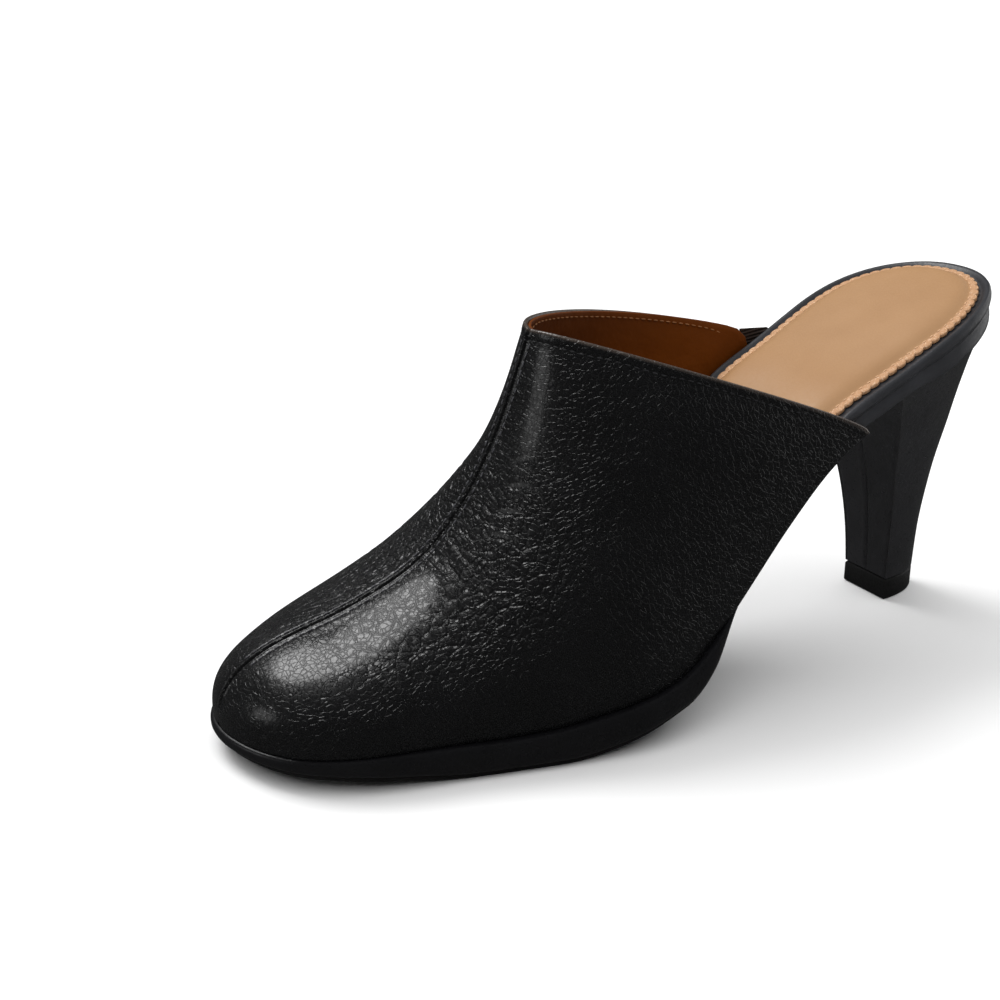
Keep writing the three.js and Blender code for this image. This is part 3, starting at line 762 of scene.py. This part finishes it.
def milled_leather():
    """Black milled leather: pebbles and crackle on the vamp, finer wrinkles on the toe, a semi-gloss coat."""
    material, tree, shader = finish_named("milled black leather", 0.3, 0.5, coat=0.3, coat_roughness=0.16)
    at = in_millimetres(tree)
    maps = [("attribute_name", name) for name in ("flex", "calm", "worn")]
    flex, calm, worn = (add(tree, "ShaderNodeAttribute", name).outputs["Fac"] for name in maps)
    surface = add(tree, "ShaderNodeUVMap", ("uv_map", "leather")).outputs[0]

    stir = add(tree, "ShaderNodeTexNoise", Vector=at, Scale=0.3, Detail=1.0).outputs["Color"]
    centred = add(tree, "ShaderNodeVectorMath", ("operation", "SUBTRACT"), i0=stir, i1=(0.5, 0.5, 0.5))
    pushed = add(tree, "ShaderNodeVectorMath", ("operation", "MULTIPLY_ADD"), i0=centred.outputs[0], i2=at)
    pushed.inputs[1].default_value = (1.9, 1.9, 1.9)
    at_pushed = pushed.outputs[0]

    def times(a, b):
        return add(tree, "ShaderNodeMath", ("operation", "MULTIPLY"), i0=a, i1=b).outputs[0]

    def crackle(scale, sharp):
        lines = ("feature", "DISTANCE_TO_EDGE")
        cells = add(tree, "ShaderNodeTexVoronoi", lines, Vector=at_pushed, Scale=scale)
        return ranged(tree, cells.outputs["Distance"], 0, sharp, 0, 1)

    cracks = crackle(0.35, 0.15)
    domes = crackle(0.35, 0.5)
    toe_lines = crackle(0.8, 0.1)
    stretched = add(tree, "ShaderNodeMapping", Vector=surface, Scale=(55.0, 760.0, 1.0))
    ridged = add(
        tree,
        "ShaderNodeTexNoise",
        Vector=stretched.outputs[0],
        Scale=1.0,
        Detail=1.5,
        Distortion=0.35,
    ).outputs["Fac"]
    wrinkles = ranged(tree, ridged, 0.36, 0.64, 0, 1)
    fine = noise(tree, at_pushed, 2.2, 3.0)
    cloud = noise(tree, at, 0.08, 3.0)

    base = raised(tree, times(wrinkles, calm), 0.12)
    base = raised(tree, times(domes, flex), 0.085, base)
    base = raised(tree, times(cracks, flex), 0.16, base)
    base = raised(tree, toe_lines, 0.08, base)
    base = raised(tree, fine, 0.014, base)
    link(tree, shader, "Normal", base)
    dark = tinted(tree, cloud, (0.0018, 0.0018, 0.002), (0.004, 0.004, 0.0045))
    edge = add(tree, "ShaderNodeMix", ("data_type", "RGBA"), Factor=worn)
    tree.links.new(dark, edge.inputs["A"])
    edge.inputs["B"].default_value = (0.06, 0.046, 0.038, 1)
    link(tree, shader, "Base Color", edge.outputs["Result"])
    rough = ranged(tree, fine, 0.3, 0.7, 0.24, 0.36)
    link(tree, shader, "Roughness", rough)
    return material


def painted(piece, name, values):
    """A number for every point of the piece."""
    layer = piece.data.attributes.new(name, "FLOAT", "POINT")
    layer.data.foreach_set("value", np.asarray(values, np.float32))


inner_face = grid - normals * LEATHER
points, faces = with_rolls(outer_face, inner_face, normals, LEATHER, UPPER_ROLL_STEPS)
mesh = bpy.data.meshes.new("leather_upper")
mesh.from_pydata(place(points).tolist(), [], faces)
mesh.shade_smooth()
mesh.materials.append(milled_leather())
upper = put("leather_upper", mesh)
size = grid.shape[0] * grid.shape[1]
rest = len(points) - size
row_place = np.broadcast_to(rows[:, None], around.shape)
flex_map = smoothstep(row_place, 0.9, 2.8) * (1 - 0.9 * smoothstep(row_place, 5.2, 7.8))
flex_map = flex_map * smoothstep(to_foot, 8, 32) * (1 - 0.75 * smoothstep(np.abs(around), 34, 56))
flex_map = 0.1 + 0.9 * flex_map
painted(upper, "flex", np.concatenate([flex_map.ravel(), np.full(rest, 0.05)]))
calm_map = bell(around, 24) * mix(0.42, 1, smoothstep(row_place, 2.5, 4.5))
calm_map = calm_map * smoothstep(from_topline, 2, 14)
painted(upper, "calm", np.concatenate([calm_map.ravel(), np.zeros(rest)]))
worn_map = 0.6 * bell(from_topline, 0.25).ravel()
roll_count = (UPPER_ROLL_STEPS - 2) * grid.shape[1]
worn_rest = np.zeros(rest)
worn_rest[size : size + roll_count] = 1
painted(upper, "worn", np.concatenate([worn_map, worn_rest]))
uv = mesh.uv_layers.new(name="leather")
corner = np.zeros(len(mesh.loops), np.int32)
mesh.loops.foreach_get("vertex_index", corner)
flat_map = np.zeros((len(points), 2))
flat_map[:size] = np.column_stack([around.ravel(), along_mixed.ravel()]) / 1000
uv.data.foreach_set("uv", flat_map[corner].ravel())
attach(upper, "root")
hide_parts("upper")


# Lining
# Saddle-tan leather inside the upper, closed with it at the topline. It is darker than the sock and softly
# wrinkled where the foot slides in.
LINING = 0.75
LINING_START = 0.008
LINING_GLUE = 0.08
LINING_ROWS_TOE = 20
LINING_ROWS_BACK = 14
LINING_COLUMNS = 44
LINING_ROLL_STEPS = 5


def lining_leather():
    material, tree, shader = finish_named("saddle tan lining", 0.6, 0.15)
    at = in_millimetres(tree)
    cloud = noise(tree, at, 0.07, 4.0)
    grain = noise(tree, at, 1.2, 4.0)
    tint = tinted(tree, cloud, (0.085, 0.019, 0.0008), (0.135, 0.033, 0.0015))
    link(tree, shader, "Base Color", tint)
    soft = raised(tree, cloud, 1.2)
    link(tree, shader, "Normal", raised(tree, grain, 0.06, soft))
    return material


coarse = rib_grid(rib_rows(LINING_ROWS_TOE, LINING_ROWS_BACK), LINING_COLUMNS, LINING_START)
coarse_normals = grid_normals(coarse)
lining_outer = coarse - coarse_normals * (LEATHER + LINING_GLUE)
lining_inner = coarse - coarse_normals * (LEATHER + LINING_GLUE + LINING)
lining_shell = with_rolls(lining_outer, lining_inner, coarse_normals, LINING, LINING_ROLL_STEPS)
lining = make("lining", *lining_shell, lining_leather(), 60)
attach(lining, "root")


# Stitches
# Waxed black thread along both sides of the front seam, duller along the topline, and tan thread inside along
# the lining's edge and round the sock. The seam's thread is painted lighter than the topline's, partly a
# painted highlight. Each row follows a line on the leather; a stitch is a rounded bar.
STITCH_PITCH = 2.1
STITCH_LENGTH = 1.5
THREAD = 0.2
LINING_STITCH = 1.4
SOCK_STITCH = 5.3
SOCK_PITCH = 2.9
SOCK_ROW_END = 0.4
SEAM_ROW_ENDS = (30, -8)
SEAM_CLEAR = 3


def thread_finish(name, colour, roughness):
    material, tree, shader = finish_named(name, roughness, 0.4)
    at = in_millimetres(tree)
    twist_and_painted_highlight = noise(tree, at, 5.0, 2.0)
    pale = tuple(min(1, 1.7 * c) for c in colour)
    # Painted highlight: the thread's colour turns up to 1.7 times lighter where the twist bump stands high.
    link(tree, shader, "Base Color", tinted(tree, twist_and_painted_highlight, colour, pale))
    link(tree, shader, "Normal", raised(tree, twist_and_painted_highlight, 0.05))
    return material


def stitch_tree():
    """Stitches set along a line at an even pitch, each one turned to follow it."""
    tree = bpy.data.node_groups.new("stitches along a line", "GeometryNodeTree")
    face = tree.interface
    face.new_socket(name="Line", in_out="INPUT", socket_type="NodeSocketGeometry")
    for name in ("Pitch", "Length", "Thread"):
        face.new_socket(name=name, in_out="INPUT", socket_type="NodeSocketFloat")
    face.new_socket(name="Finish", in_out="INPUT", socket_type="NodeSocketMaterial")
    face.new_socket(name="Stitches", in_out="OUTPUT", socket_type="NodeSocketGeometry")
    given = tree.nodes.new("NodeGroupInput")
    line = add(tree, "GeometryNodeMeshToCurve", Mesh=given.outputs["Line"])
    even = add(
        tree,
        "GeometryNodeResampleCurve",
        ("mode", "LENGTH"),
        Curve=line.outputs[0],
        Length=given.outputs["Pitch"],
    )
    along = add(tree, "GeometryNodeInputTangent")
    turned = add(tree, "FunctionNodeAlignRotationToVector", ("axis", "X"), Vector=along.outputs[0])
    bar = add(tree, "GeometryNodeMeshUVSphere", Segments=8, Rings=6, Radius=0.5)
    size = add(
        tree,
        "ShaderNodeCombineXYZ",
        X=given.outputs["Length"],
        Y=given.outputs["Thread"],
        Z=given.outputs["Thread"],
    )
    shaped = add(tree, "GeometryNodeTransform", Geometry=bar.outputs["Mesh"], Scale=size.outputs[0])
    rowed = add(
        tree,
        "GeometryNodeInstanceOnPoints",
        Points=even.outputs[0],
        Instance=shaped.outputs[0],
        Rotation=turned.outputs[0],
    )
    real = add(tree, "GeometryNodeRealizeInstances", Geometry=rowed.outputs[0])
    smooth = add(tree, "GeometryNodeSetShadeSmooth", Geometry=real.outputs[0])
    done = add(tree, "GeometryNodeSetMaterial", Geometry=smooth.outputs[0], Material=given.outputs["Finish"])
    out = tree.nodes.new("NodeGroupOutput")
    tree.links.new(done.outputs[0], out.inputs[0])
    return tree


STITCH_TREE = stitch_tree()


def realized(name, lines, tree, **sizes):
    """A Geometry Nodes tree run on lines of points, then kept as a plain mesh."""
    mesh = bpy.data.meshes.new(name + " lines")
    points = np.concatenate(lines)
    edges, start = [], 0
    for line in lines:
        edges += [(start + i, start + i + 1) for i in range(len(line) - 1)]
        start += len(line)
    mesh.from_pydata(place(points).tolist(), edges, [])
    carrier = put(name, mesh)
    modifier = carrier.modifiers.new("along the line", "NODES")
    modifier.node_group = tree
    for item in tree.interface.items_tree:
        if item.in_out == "INPUT" and item.name in sizes:
            modifier[item.identifier] = sizes[item.name]
    seen = carrier.evaluated_get(bpy.context.evaluated_depsgraph_get())
    made = bpy.data.meshes.new_from_object(seen)
    carrier.modifiers.remove(modifier)
    carrier.data = made
    bpy.data.meshes.remove(mesh)
    made.name = name
    return carrier


def row_on(face_grid, normal_grid, distances, axis, wanted, proud):
    """The line on a grid where a distance has the wanted value, a little proud of the surface."""
    line = []
    if axis == 0:
        for c in range(face_grid.shape[1]):
            i = np.argmin(np.abs(distances[:, c] - wanted))
            line.append(face_grid[i, c] + normal_grid[i, c] * proud)
    else:
        for i in range(face_grid.shape[0]):
            c = np.argmin(np.abs(distances[i] - wanted))
            line.append(face_grid[i, c] + normal_grid[i, c] * proud)
    return np.array(line)


def eased(line, times=6):
    """The line with its small steps smoothed out."""
    for _ in range(times):
        line[1:-1] = (line[:-2] + 2 * line[1:-1] + line[2:]) / 4
    return line


seam_rows = []
for side in (1, -1):
    whole = row_on(outer_face, normals, around, 1, side * SEAM_STITCH, 0.12)
    seam_rows.append(eased(whole[slice(*SEAM_ROW_ENDS)]))
top_row = eased(row_on(outer_face, normals, from_topline, 0, TOPLINE_STITCH, 0.05))
top_rows = [top_row[2 : middle - SEAM_CLEAR], top_row[middle + SEAM_CLEAR + 1 : -2]]
coarse_along = walked_from(coarse, 0, 0)
coarse_from_topline = coarse_along[-1:] - coarse_along
lining_row = eased(row_on(lining_inner, -coarse_normals, coarse_from_topline, 0, LINING_STITCH, 0.03))
sock_xs = stations(0, SOCK_ROW_END * LENGTH, 160)
sock_flat = np.concatenate([rim(sock_xs, s, -SOCK_STITCH - wrap(sock_xs))[::-s] for s in (1, -1)])
sock_row = np.column_stack([sock_flat, sock_top(sock_flat[:, 0]) + 0.05])
# Partly a painted highlight: the seam's black thread has a base colour about four times lighter than the
# topline's.
waxed = thread_finish("seam thread with painted highlight", (0.05, 0.05, 0.055), 0.35)
dull = thread_finish("dull black thread", (0.012, 0.012, 0.013), 0.6)
pale = thread_finish("pale tan thread", (0.45, 0.28, 0.16), 0.5)
tan = thread_finish("tan thread", (0.2, 0.085, 0.03), 0.6)
for name, lines, spacing, finish, slot in (
    ("seam_stitches", seam_rows, STITCH_PITCH, waxed, "milled_leather"),
    ("topline_stitches", top_rows, STITCH_PITCH, dull, "milled_leather"),
    ("sock_stitches", [sock_row], SOCK_PITCH, pale, "sock_leather"),
    ("lining_stitches", [lining_row[1:-1]], STITCH_PITCH, tan, "sock_leather"),
):
    piece = realized(
        name,
        lines,
        STITCH_TREE,
        Pitch=spacing / 1000,
        Length=STITCH_LENGTH / 1000,
        Thread=2 * THREAD / 1000,
        Finish=finish,
    )
    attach(piece, "root")


# Gore
# A short strip of dark ribbed elastic behind the inner end of the upper, glued to the board's edge. Its front
# end is let in between leather and lining. It lets the opening stretch as the foot slides in.
GORE = 1.1
GORE_LENGTH = 9
GORE_HIDDEN = 2.4
GORE_RISE = 3.6
GORE_BACK = 1.2
GORE_LEAN = 1.7
GORE_STATIONS = 25
GORE_SECTION = table(
    "out up",
    (0.35, 0.0),
    (0.35, 0.5),
    (0.35, 0.95),
    (0.5, 1.0),
    (0.85, 1.0),
    (1.0, 0.95),
    (1.0, 0.5),
    (1.0, 0.0),
)


def capped(rings):
    """Rings with one flat face over each end."""
    points, faces = joined(rings)
    count = len(rings[0])
    last = len(points) - count
    return points, faces + [tuple(range(count)), tuple(range(last, last + count))]


def elastic():
    material, tree, shader = finish_named("dark ribbed elastic", 0.85, 0.25)
    at = in_millimetres(tree)
    ribs = add(tree, "ShaderNodeTexWave", ("bands_direction", "Z"), Vector=at, Scale=0.35, Distortion=0.4)
    weave = noise(tree, at, 2.5, 3.0)
    # Painted shade: the colour darkens in the grooves between the ribs, following the ribs' bump.
    tint = tinted(tree, ribs.outputs["Fac"], (0.008, 0.005, 0.004), (0.03, 0.02, 0.016))
    link(tree, shader, "Base Color", tint)
    under = raised(tree, ribs.outputs["Fac"], 0.25)
    link(tree, shader, "Normal", raised(tree, weave, 0.12, under))
    return material


front = LENGTH * RIBS["inner"][-1] - GAP
gore_xs = np.linspace(front + GORE_HIDDEN, front - GORE_LENGTH, GORE_STATIONS)
back_share = (front - gore_xs) / GORE_LENGTH
gore_top = mix(board_top(front) + GORE_RISE, board_top(front - GORE_LENGTH) - GORE_BACK, back_share)
gore_lines = []
for out, up in zip(GORE_SECTION["out"], GORE_SECTION["up"]):
    flat = rim(gore_xs, -1, np.full(GORE_STATIONS, GORE * out + GORE_LEAN * up**2))
    gore_lines.append(np.column_stack([flat, mix(feather(gore_xs), gore_top, up)]))
gore = make("elastic_gore", *capped(np.stack(gore_lines, 1)), elastic())
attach(gore, "root")
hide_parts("gore")


# Platform
# A filler of cork and foam under the ball and the toes, wrapped in the same smooth black leather. It thins
# to an edge at the waist.
OUTSOLE = 1.5
TOE_SPRING = 3.3
PLATFORM_LIP = 1.8
TOE_LIP = 0.6
PLATFORM_START = 0.472 * LENGTH
START_EASE = 1.3
START_REACH = 9
PLATFORM_STATIONS = 241
TREAD = table(
    "at lift",
    (0.5, 3.2),
    (0.53, 2.65),
    (0.56, 2.1),
    (0.6, 1.2),
    (0.64, 0.5),
    (0.67, 0.12),
    (0.69, 0.0),
    (0.785, 0.0),
    (0.86, 0.6),
    (0.93, 0.95),
    (1.0, 1.0),
)
PLATFORM_EDGE = table(
    "out up",
    (-1.6, 0.0),
    (-0.45, 0.02),
    (-0.08, 0.1),
    (0.1, 0.25),
    (0.15, 0.45),
    (0.12, 0.65),
    (0.0, 0.82),
    (-0.3, 0.93),
    (-0.8, 0.985),
    (-2.0, 1.0),
)
tread_lift = curve(TREAD, "lift", 0.008)


def tread(x):
    shank = feather(x) - GAP - OUTSOLE
    return mix(shank, TOE_SPRING * tread_lift(x / LENGTH), smoothstep(x / LENGTH, 0.46, 0.545))


def platform_lip(x):
    beside = PLATFORM_LIP * smoothstep(x / LENGTH, 0.4, 0.52)
    return mix(beside, TOE_LIP, smoothstep(x / LENGTH, 0.72, 0.97))


def platform_low(x):
    return tread(x) + OUTSOLE + GAP


def platform_top(x):
    return feather(x) - GAP


xs = stations(PLATFORM_START, LENGTH, PLATFORM_STATIONS)
drawn_in = START_EASE * (1 - smoothstep(xs, PLATFORM_START, PLATFORM_START + START_REACH))
platform_rings = edged(xs, PLATFORM_EDGE, platform_lip(xs) - drawn_in, platform_low, platform_top)
platform = make("wrapped_platform", *loft(platform_rings), SMOOTH_BLACK)
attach(platform, "root")
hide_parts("platform")


# Outsole
# Thin black rubber under the platform, running up the shank to the front of the heel. Its edge is trimmed
# plain and its tread is only roughened.
SOLE_INSET = 1.6
SHANK_MARGIN = 2.6
HEEL_TOP_FRONT = 46
SOLE_STATIONS = 221
SOLE_EDGE = table(
    "out up",
    (-1.2, 0.0),
    (-0.45, 0.0),
    (-0.15, 0.1),
    (0.0, 0.3),
    (0.0, 0.7),
    (-0.12, 0.92),
    (-0.4, 1.0),
)


def sole_rubber():
    material, tree, shader = finish_named("black sole rubber", 0.55, 0.4)
    at = in_millimetres(tree)
    speck = noise(tree, at, 1.8, 4.0)
    dust = noise(tree, at, 0.12, 3.0)
    tint = tinted(tree, dust, (0.003, 0.003, 0.003), (0.008, 0.008, 0.008))
    link(tree, shader, "Base Color", tint)
    link(tree, shader, "Roughness", ranged(tree, speck, 0.3, 0.7, 0.45, 0.65))
    link(tree, shader, "Normal", raised(tree, speck, 0.08))
    return material


def sole_top(x):
    return tread(x) + OUTSOLE


RUBBER = sole_rubber()
xs = stations(HEEL_TOP_FRONT + 1, LENGTH, SOLE_STATIONS)
sole_out = mix(-SHANK_MARGIN, platform_lip(xs) - SOLE_INSET, smoothstep(xs / LENGTH, 0.4, 0.5))
sole_rings = edged(xs, SOLE_EDGE, sole_out, tread, sole_top)
outsole = make("rubber_outsole", *loft(sole_rings), RUBBER)
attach(outsole, "root")
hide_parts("outsole")


# Heel
# A moulded heel covered in smooth black leather, its top under the rand. Its front, the breast, is flat, and
# the cover meets there in one seam.
TIP_BACK = 8.6
TIP_FRONT = 25
TIP_WIDTH = 16.4
TOP_PIECE = 6.4
HEEL_MARGIN = 1.3
HEEL_SECTIONS = table(
    "at backward spread",
    (0.0, 0.0, 0.0),
    (0.15, 0.03, 0.035),
    (0.4, 0.34, 0.145),
    (0.65, 0.84, 0.36),
    (0.85, 0.98, 0.67),
    (1.0, 1.0, 1.0),
)
HEEL_LEVELS = 90
HEEL_POINTS = 61
BREAST_POINTS = 41
BREAST_EASE = 0.45
BREAST_EASE_REACH = 0.7
COVER_SEAM = 0.45
COVER_SEAM_REACH = 0.5
COVER_RIDGE = 0.12
COVER_RIDGE_AT = 1.1
COVER_RIDGE_REACH = 0.6
heel_back = curve(HEEL_SECTIONS, "backward", 0.03)
heel_spread = curve(HEEL_SECTIONS, "spread", 0.03)


def heel_ring(share):
    """One section of the heel: from the outer front corner round the back, then across the breast."""
    spread = np.clip(heel_spread(share), 0, 1)
    back = mix(TIP_BACK, HEEL_MARGIN, np.clip(heel_back(share), 0, 1))
    front = mix(TIP_FRONT, HEEL_TOP_FRONT, spread)
    seat_half = half(HEEL_TOP_FRONT) - HEEL_MARGIN
    half_wide = mix(TIP_WIDTH / 2, seat_half, spread)
    middle_y = centre(HEEL_TOP_FRONT) * spread
    angle = np.linspace(0, math.pi, HEEL_POINTS)
    side = np.where(angle <= math.pi / 2, 1, -1)
    seat_x = HEEL_TOP_FRONT * (1 - np.sin(angle))
    seat = np.array([rim(np.array([x]), s, -HEEL_MARGIN)[0] for x, s in zip(seat_x, side)])
    deep = mix(np.sin(angle), (HEEL_TOP_FRONT - seat[:, 0]) / (HEEL_TOP_FRONT - HEEL_MARGIN), share)
    wide = mix(np.cos(angle), (seat[:, 1] - centre(HEEL_TOP_FRONT)) / seat_half, share)
    height = mix(TOP_PIECE + GAP, seat_low(seat[:, 0]) - GAP, share)
    body = np.column_stack([mix(front, back, deep), middle_y + wide * half_wide, height])
    across = np.linspace(-1, 1, BREAST_POINTS)[1:-1]
    start, end = body[-1], body[0]
    breast = start + (end - start) * (across[:, None] + 1) / 2
    width = np.linalg.norm(end - start)
    from_seam = across * width / 2
    from_corner = (1 - np.abs(across)) * width / 2
    sunk = COVER_SEAM * bell(from_seam, COVER_SEAM_REACH)
    sunk -= COVER_RIDGE * bell(np.abs(from_seam) - COVER_RIDGE_AT, COVER_RIDGE_REACH)
    sunk += BREAST_EASE * bell(from_corner, BREAST_EASE_REACH)
    breast[:, 0] -= sunk * smoothstep(share, 0.0, 0.02)
    return np.concatenate([body, breast])


heel_rings = [heel_ring(share) for share in np.linspace(0, 1, HEEL_LEVELS + 1)]
# Painted sheen: the heel cover's base colour is several times lighter than the same smooth leather on the
# platform.
heel_leather_painted_sheen = smooth_leather("heel cover leather with painted sheen", (0.012, 0.012, 0.0133), (0.025, 0.025, 0.0275))
heel = make("covered_heel", *capped(heel_rings), heel_leather_painted_sheen, 50)
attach(heel, "root")
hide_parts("heel")


# Heel's top piece
# A small block of black rubber nailed under the heel, with a narrow groove between it and the leather. The
# shoe stands on it.
TOP_PIECE_EDGE = table(
    "inset up",
    (0.5, 0.0),
    (0.15, 0.04),
    (0.0, 0.1),
    (0.0, 0.88),
    (0.18, 0.95),
    (0.5, 1.0),
)
tip_ring = heel_ring(0.0)
tip_middle = np.array([(TIP_BACK + TIP_FRONT) / 2, 0.0])
tip_rings = []
for inset, up in zip(TOP_PIECE_EDGE["inset"], TOP_PIECE_EDGE["up"]):
    shrink = 1 - 2 * inset / (TIP_FRONT - TIP_BACK)
    flat = tip_middle + (tip_ring[:, :2] - tip_middle) * shrink
    tip_rings.append(np.column_stack([flat, np.full(len(flat), TOP_PIECE * up)]))
top_piece = make("heel_top_piece_rubber", *capped(tip_rings), RUBBER, 50)
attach(top_piece, "root")
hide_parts("heel_top_piece")


# Camera, floor and light
# The camera keeps the photo's angle to the shoe. The floor is pale and plain. A key light from high on the
# inner side, low glows in front and behind, and a broad fill overhead light it as a shop picture is lit.
CAMERA_AT = (0.28578, 0.27141, 0.17482)
CAMERA_AZIMUTH = math.radians(150.206)
CAMERA_ELEVATION = math.radians(21.334)
CAMERA_ROLL = math.radians(-0.395)
LENS = 50.647
FLOOR_HALF = 12.0
LIGHTS = {
    "key": {"azimuth": -70, "elevation": 56, "spread": 30, "strength": 1.6},
    "front glow": {"azimuth": -16, "elevation": 14, "spread": 18, "strength": 0.13},
    "rear glow": {"azimuth": 182, "elevation": 12, "spread": 56, "strength": 0.5},
    "overhead fill": {"azimuth": 0, "elevation": 88, "spread": 100, "strength": 3.3},
}
WORLD_STRENGTH = 0.055

back = Vector(
    (
        math.sin(CAMERA_AZIMUTH) * math.cos(CAMERA_ELEVATION),
        -math.cos(CAMERA_AZIMUTH) * math.cos(CAMERA_ELEVATION),
        math.sin(CAMERA_ELEVATION),
    )
)
right = Vector((0, 0, 1)).cross(back).normalized()
up = back.cross(right)
rolled_right = math.cos(CAMERA_ROLL) * right + math.sin(CAMERA_ROLL) * up
rolled_up = math.cos(CAMERA_ROLL) * up - math.sin(CAMERA_ROLL) * right
camera_data = bpy.data.cameras.new("camera")
camera_data.lens = LENS
camera_data.sensor_width = 36
camera_data.clip_start = 0.01
camera_data.clip_end = 50
camera = put("camera", camera_data)
facing = Matrix((rolled_right, rolled_up, back)).transposed().to_4x4()
camera.matrix_world = Matrix.Translation(CAMERA_AT) @ facing
bpy.context.scene.camera = camera

floor_mesh = bpy.data.meshes.new("floor")
floor_mesh.from_pydata(
    [(x * FLOOR_HALF, y * FLOOR_HALF, 0) for x, y in ((-1, -1), (1, -1), (1, 1), (-1, 1))],
    [],
    [(0, 1, 2, 3)],
)
floor = put("floor", floor_mesh)
floor_finish, _, floor_shader = finish_named("pale floor", 0.7, 0.2)
floor_shader.inputs["Base Color"].default_value = (0.86, 0.86, 0.86, 1)
floor_mesh.materials.append(floor_finish)


def sun(name, azimuth, elevation, spread, strength):
    """A sun lamp that shines from an azimuth and an elevation in degrees."""
    data = bpy.data.lights.new(name, "SUN")
    data.energy = strength
    data.angle = math.radians(spread)
    turn, height = math.radians(azimuth), math.radians(elevation)
    level = math.cos(height)
    toward = Vector((math.cos(turn) * level, math.sin(turn) * level, math.sin(height)))
    lamp = put(name, data)
    lamp.rotation_mode = "QUATERNION"
    lamp.rotation_quaternion = toward.to_track_quat("Z", "Y")
    return lamp


lamps = {name: sun(name, **values) for name, values in LIGHTS.items()}
lamps["rear glow"].visible_diffuse = False
lamps["overhead fill"].visible_glossy = False
floor.visible_glossy = False
world = bpy.data.worlds.new("studio")
bpy.context.scene.world = world
world.use_nodes = True
world.node_tree.nodes["Background"].inputs["Color"].default_value = (1, 1, 1, 1)
world.node_tree.nodes["Background"].inputs["Strength"].default_value = WORLD_STRENGTH
bpy.context.scene.view_settings.view_transform = "Standard"
